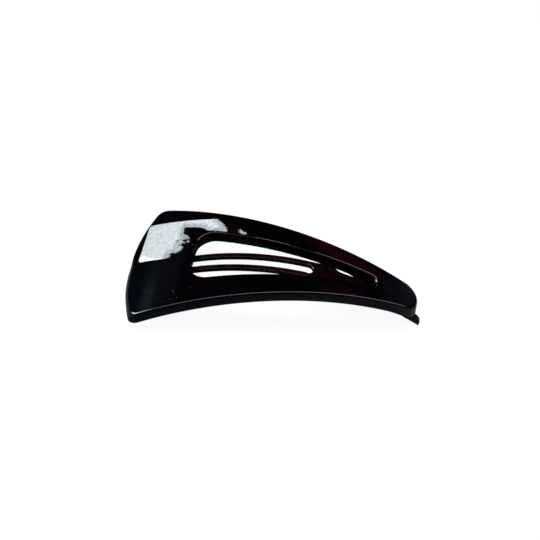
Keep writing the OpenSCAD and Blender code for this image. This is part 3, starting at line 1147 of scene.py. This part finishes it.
def fibre_tree():
    """Tree that lays thin, bent paper fibres at random round each point of a torn edge."""
    inputs = {
        "Count": ("Int", "Number of fibres"),
        "Length": ("Float", "Length of the longest fibres"),
        "Thickness": ("Float", "Thickness of a fibre"),
        "Spread": ("Float", "How far the fibres stray from the edge"),
        "Seed": ("Int", "Seed of the random places"),
        "Material": ("Material", "Finish of the fibres"),
    }
    tree, given, add = new_tree("torn fibres", inputs)
    bend_points = {
        "Resolution": 4,
        "Start": (-0.5, 0.0, 0.0),
        "Start Handle": (-0.2, 0.16, 0.10),
        "End Handle": (0.2, -0.12, 0.16),
        "End": (0.5, 0.06, 0.02),
    }
    bones = add("GeometryNodeCurvePrimitiveBezierSegment", bend_points)
    ring = add("GeometryNodeCurvePrimitiveCircle", {"Resolution": 3, "Radius": 0.03})
    strand = add("GeometryNodeCurveToMesh", {"Curve": bones, "Profile Curve": ring, "Fill Caps": True})
    seed = given["Seed"]
    step = random_vector((-1.0, -1.0, 0.0), (1.0, 1.0, 0.3), seed).scaled(given["Spread"])
    points = add("GeometryNodeMeshToPoints", {"Mesh": given["Geometry"]})
    pair = {2: add("GeometryNodeInputIndex"), 3: given["Count"]}
    spare = add("FunctionNodeCompare", pair, data_type="INT", operation="GREATER_EQUAL")
    kept = add("GeometryNodeDeleteGeometry", {"Geometry": points, "Selection": spare})
    placed = add("GeometryNodeSetPosition", {"Geometry": kept, "Offset": step})
    turned = random_vector((-0.25, -0.35, 0.0), (0.25, 0.35, 6.283), seed + 3)
    share = add("FunctionNodeRandomValue", {2: 0.3, 3: 1.0, "Seed": seed + 5}, 1, data_type="FLOAT")
    across = given["Thickness"] * 17.0
    scale = add("ShaderNodeCombineXYZ", {0: share * given["Length"], 1: across, 2: across})
    laid = {"Points": placed, "Instance": strand, "Rotation": turned, "Scale": scale}
    return end_tree(tree, add("GeometryNodeInstanceOnPoints", laid), given["Material"])


def scatter_fibres(edge, paper):
    """Fibres round the label's torn edge, resting as the clip does."""
    label = settings("label")
    picker = random.Random(11)
    mesh = bmesh.new()
    for _ in range(label.fibres):
        place = picker.choice(edge)
        z = height_on(frame_bow(), place.x, label.gap + 0.5 * label.thick)
        x, up = rest_place(place.x, z)
        mesh.verts.new((x, place.y, up))
    values = {
        "Count": label.fibres,
        "Length": label.fibre,
        "Thickness": 0.022 * MM,
        "Spread": 0.22 * MM,
        "Seed": 7,
        "Material": paper,
    }
    return run_tree(finished_mesh("label_fibres", mesh), fibre_tree(), values)


# Places of the dust specks along and across the clip, and their sizes, all in millimetres
SPECKS = [
    (-24.95, -12.65, 0.22), (-24.45, -13.55, 0.15), (-23.45, -15.2, 0.17), (-25.15, -15.4, 0.18),
    (-22.2, 6.3, 0.10), (-22.9, 3.9, 0.18), (-20.7, -11.8, 0.10), (-19.6, -13.2, 0.09),
    (-24.6, -11.9, 0.09), (-26.8, -9.0, 0.08), (-30.4, -12.4, 0.08), (-13.6, -12.6, 0.08),
    (16.4, 8.2, 0.09), (20.4, -6.6, 0.08), (28.4, 2.2, 0.08),
    (24.6, -6.6, 0.10), (30.2, -4.2, 0.08), (-33.0, 15.5, 0.08), (-12.4, 14.0, 0.08),
    (-27.1, -15.9, 0.10), (-26.2, -16.6, 0.08), (-22.3, -14.9, 0.10), (-21.1, -14.1, 0.12),
    (-18.8, -13.9, 0.08), (-23.9, -16.4, 0.09), (-28.3, -14.8, 0.08), (-20.3, -15.2, 0.09),
]


def speck_tree():
    """Tree that sets a small uneven flake at each point, turned and sized at random."""
    inputs = {
        "Size": ("Float", "Size of the largest flakes"),
        "Seed": ("Int", "Seed of the random turns and shapes"),
        "Material": ("Material", "Finish of the dust"),
    }
    tree, given, add = new_tree("dust specks", inputs)
    ball = add("GeometryNodeMeshIcoSphere", {"Radius": 0.5, "Subdivisions": 2})
    shift = add("GeometryNodeInputPosition").drift(2.6, 2.0, 0.6)
    flake = add("GeometryNodeSetPosition", {"Geometry": ball, "Offset": shift})
    turned = random_vector((-0.2, -0.2, 0.0), (0.2, 0.2, 6.283), given["Seed"])
    stretch = random_vector((0.7, 0.4, 0.25), (1.3, 0.8, 0.4), given["Seed"] + 2)
    own = add("GeometryNodeInputNamedAttribute", {"Name": "speck"}, data_type="FLOAT")
    points = add("GeometryNodeMeshToPoints", {"Mesh": given["Geometry"]})
    scale = stretch.scaled(own * given["Size"])
    laid = {"Points": points, "Instance": flake, "Rotation": turned, "Scale": scale}
    return end_tree(tree, add("GeometryNodeInstanceOnPoints", laid), given["Material"])


class ClipMakeDust(bpy.types.Operator):
    """Make the few specks of dust on the polished plastic"""

    bl_idname = "clip.make_dust"
    bl_label = "Make Dust"

    def execute(self, context):
        mesh = bmesh.new()
        layer = mesh.verts.layers.float.new("speck")
        largest = max(across for _, _, across in SPECKS)
        for x, y, across in SPECKS:
            along, up = rest_place(x * MM, height_on(frame_bow(), x * MM) + 0.03 * across * MM)
            mesh.verts.new((along, y * MM, up))[layer] = across / largest
        values = {"Size": largest * MM, "Seed": 3, "Material": finish_from(speck_dust)}
        specks = run_tree(finished_mesh("dust_specks", mesh), speck_tree(), values)
        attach(specks, "frame")
        return {"FINISHED"}


# The small soft lights that the plastic mirrors: name, place in metres, width and height, power in
# watts, colour, the direction that the wide side follows, and whether it lights matt surfaces too
COOL = (0.52, 0.76, 1.0)
LEFT_SIDE = (0.74, 0.05, 0.67)
RIGHT_SIDE = (-0.61, 0, 0.79)
WINDOWS = [
    ("far_window", (-0.668, 0.606, 0.402), 0.060, 0.042, 0.0042, COOL, LEFT_SIDE, True),
    ("far_window_edge", (-0.606, 0.656, 0.440), 0.18, 0.15, 0.0076, COOL, LEFT_SIDE, True),
    ("blue_window", (-0.77, 0.53, 0.34), 0.26, 0.30, 0.017, (0.10, 0.34, 1.0), LEFT_SIDE, True),
    ("right_window", (0.63, 0.65, 0.42), 0.20, 0.14, 0.0052, (0.70, 0.84, 1.0), RIGHT_SIDE, True),
    ("rim_window", (0.64, 0.70, 0.315), 0.10, 0.05, 0.025, (0.85, 0.90, 1.0), RIGHT_SIDE, True),
    ("left_window", (-0.92, 0.10, 0.54), 0.60, 0.50, 38.0, (0.80, 0.92, 1.0), (0, 1, 0), False),
]
# Width of the picture, and the crest's place in it, in pixels; the table's flat radius and curled
# edge in metres
PICTURE = 540
CREST_IN_PICTURE = (277.85, 258.17)
TABLE_FLAT = 1.1
TABLE_CURL = 0.5
TABLE_TURNS = 72


def soft_light(name, place, wide, tall, power, hue, along, diffuse):
    """A soft rectangular light that faces the clip, its wide side as near as may be to a direction."""
    data = bpy.data.lights.new(name, "AREA")
    data.shape = "RECTANGLE"
    data.size = wide
    data.size_y = tall
    data.energy = power
    data.color = hue
    lamp = bpy.data.objects.new(name, data)
    lamp.visible_camera = False
    lamp.visible_diffuse = diffuse
    back = Vector(place).normalized()
    side = Vector(along)
    side = (side - back * side.dot(back)).normalized()
    stand(lamp, side, back.cross(side), back, place)


def stand(thing, right, up, back, place):
    """Puts a light or the camera at a place, turned to three directions, in the scene."""
    turn = Matrix((right, up, back)).transposed().to_4x4()
    thing.matrix_world = Matrix.Translation(place) @ turn
    bpy.context.scene.collection.objects.link(thing)


class ClipMakeStage(bpy.types.Operator):
    """Make the pale table, the soft lights and the camera"""

    bl_idname = "clip.make_stage"
    bl_label = "Make Stage"

    def execute(self, context):
        stage = settings("stage")
        scene = context.scene
        mesh = bmesh.new()
        centre = mesh.verts.new((0, 0, 0))
        profile = [(TABLE_CURL, 0.0), (TABLE_FLAT, 0.0)]
        for a in (0.2, 0.4, 0.6, 0.8):
            profile.append((TABLE_FLAT + TABLE_CURL * math.sin(a), TABLE_CURL * (1 - math.cos(a))))
        columns = []
        for i in range(TABLE_TURNS):
            a = 2 * math.pi * i / TABLE_TURNS
            columns.append([mesh.verts.new((r * math.cos(a), r * math.sin(a), up)) for r, up in profile])
        for a, b in join_columns(mesh, columns):
            mesh.faces.new((centre, a[0], b[0]))
        table = finished_mesh("pale_table", mesh, closed=False)
        table.data.materials.append(finish_from(pale_table))

        above = (0, 0, stage.bar_height)
        soft_light("long_light", above, 1.9, 0.17, stage.bar_light, (1, 1, 1), (1, 0, 0), True)
        for row in WINDOWS:
            soft_light(*row)
        world = bpy.data.worlds.new("dim room")
        world.use_nodes = True
        world.node_tree.nodes["Background"].inputs["Color"].default_value = (0.010, 0.011, 0.014, 1)
        scene.world = world
        scene.view_settings.view_transform = "Standard"

        azimuth, elevation, roll = stage.azimuth, stage.elevation, stage.roll
        reach = math.cos(elevation)
        back = Vector((math.sin(azimuth) * reach, -math.cos(azimuth) * reach, math.sin(elevation)))
        level = (-back).cross(Vector((0, 0, 1))).normalized()
        above = level.cross(-back)
        right = level * math.cos(roll) + above * math.sin(roll)
        up = above * math.cos(roll) - level * math.sin(roll)
        crest, top = rest_place(0, 0)
        data = bpy.data.cameras.new("camera")
        data.lens = stage.lens
        data.sensor_width = 36
        data.shift_x = (PICTURE / 2 - CREST_IN_PICTURE[0]) / PICTURE
        data.shift_y = (CREST_IN_PICTURE[1] - PICTURE / 2) / PICTURE
        data.clip_start = 0.01
        data.clip_end = 20
        scene.camera = bpy.data.objects.new("camera", data)
        stand(scene.camera, right, up, back, Vector((crest, 0, top)) + back * stage.distance)
        return {"FINISHED"}


STEPS = (ClipMakeFrame, ClipMakeTongue, ClipMakeHinge, ClipMakeLabel, ClipMakeDust, ClipMakeStage)
GROUPS = {
    "clip_frame": ClipFrameSizes,
    "clip_tongue": ClipTongueSizes,
    "clip_label": ClipLabelSizes,
    "clip_finish": ClipFinishes,
    "clip_stage": ClipStageSettings,
}


class ClipPanel(bpy.types.Panel):
    """Lists the steps that make the hair clip, with its sizes and colours"""

    bl_idname = "CLIP_PT_make"
    bl_label = "Snap Hair Clip"
    bl_space_type = "VIEW_3D"
    bl_region_type = "UI"
    bl_category = "Hair Clip"

    def draw(self, context):
        for step in STEPS:
            self.layout.operator(step.bl_idname)
        for name, group in GROUPS.items():
            box = self.layout.box()
            box.label(text=group.__doc__.rstrip("."))
            for key in group.__annotations__:
                box.prop(getattr(context.scene, name), key)


def register():
    """Registers the settings, the steps and the panel."""
    for name, group in GROUPS.items():
        bpy.utils.register_class(group)
        setattr(bpy.types.Scene, name, PointerProperty(type=group))
    for step in (*STEPS, ClipPanel):
        bpy.utils.register_class(step)


def unregister():
    """Removes what register added."""
    for step in reversed((*STEPS, ClipPanel)):
        bpy.utils.unregister_class(step)
    for name, group in reversed(list(GROUPS.items())):
        delattr(bpy.types.Scene, name)
        bpy.utils.unregister_class(group)


def main():
    """Registers the settings and steps, then makes every piece and the stage."""
    register()
    bpy.ops.clip.make_frame()
    bpy.ops.clip.make_tongue()
    bpy.ops.clip.make_hinge()
    bpy.ops.clip.make_label()
    bpy.ops.clip.make_dust()
    bpy.ops.clip.make_stage()
    bpy.context.view_layer.update()


if __name__ == "__main__":
    main()
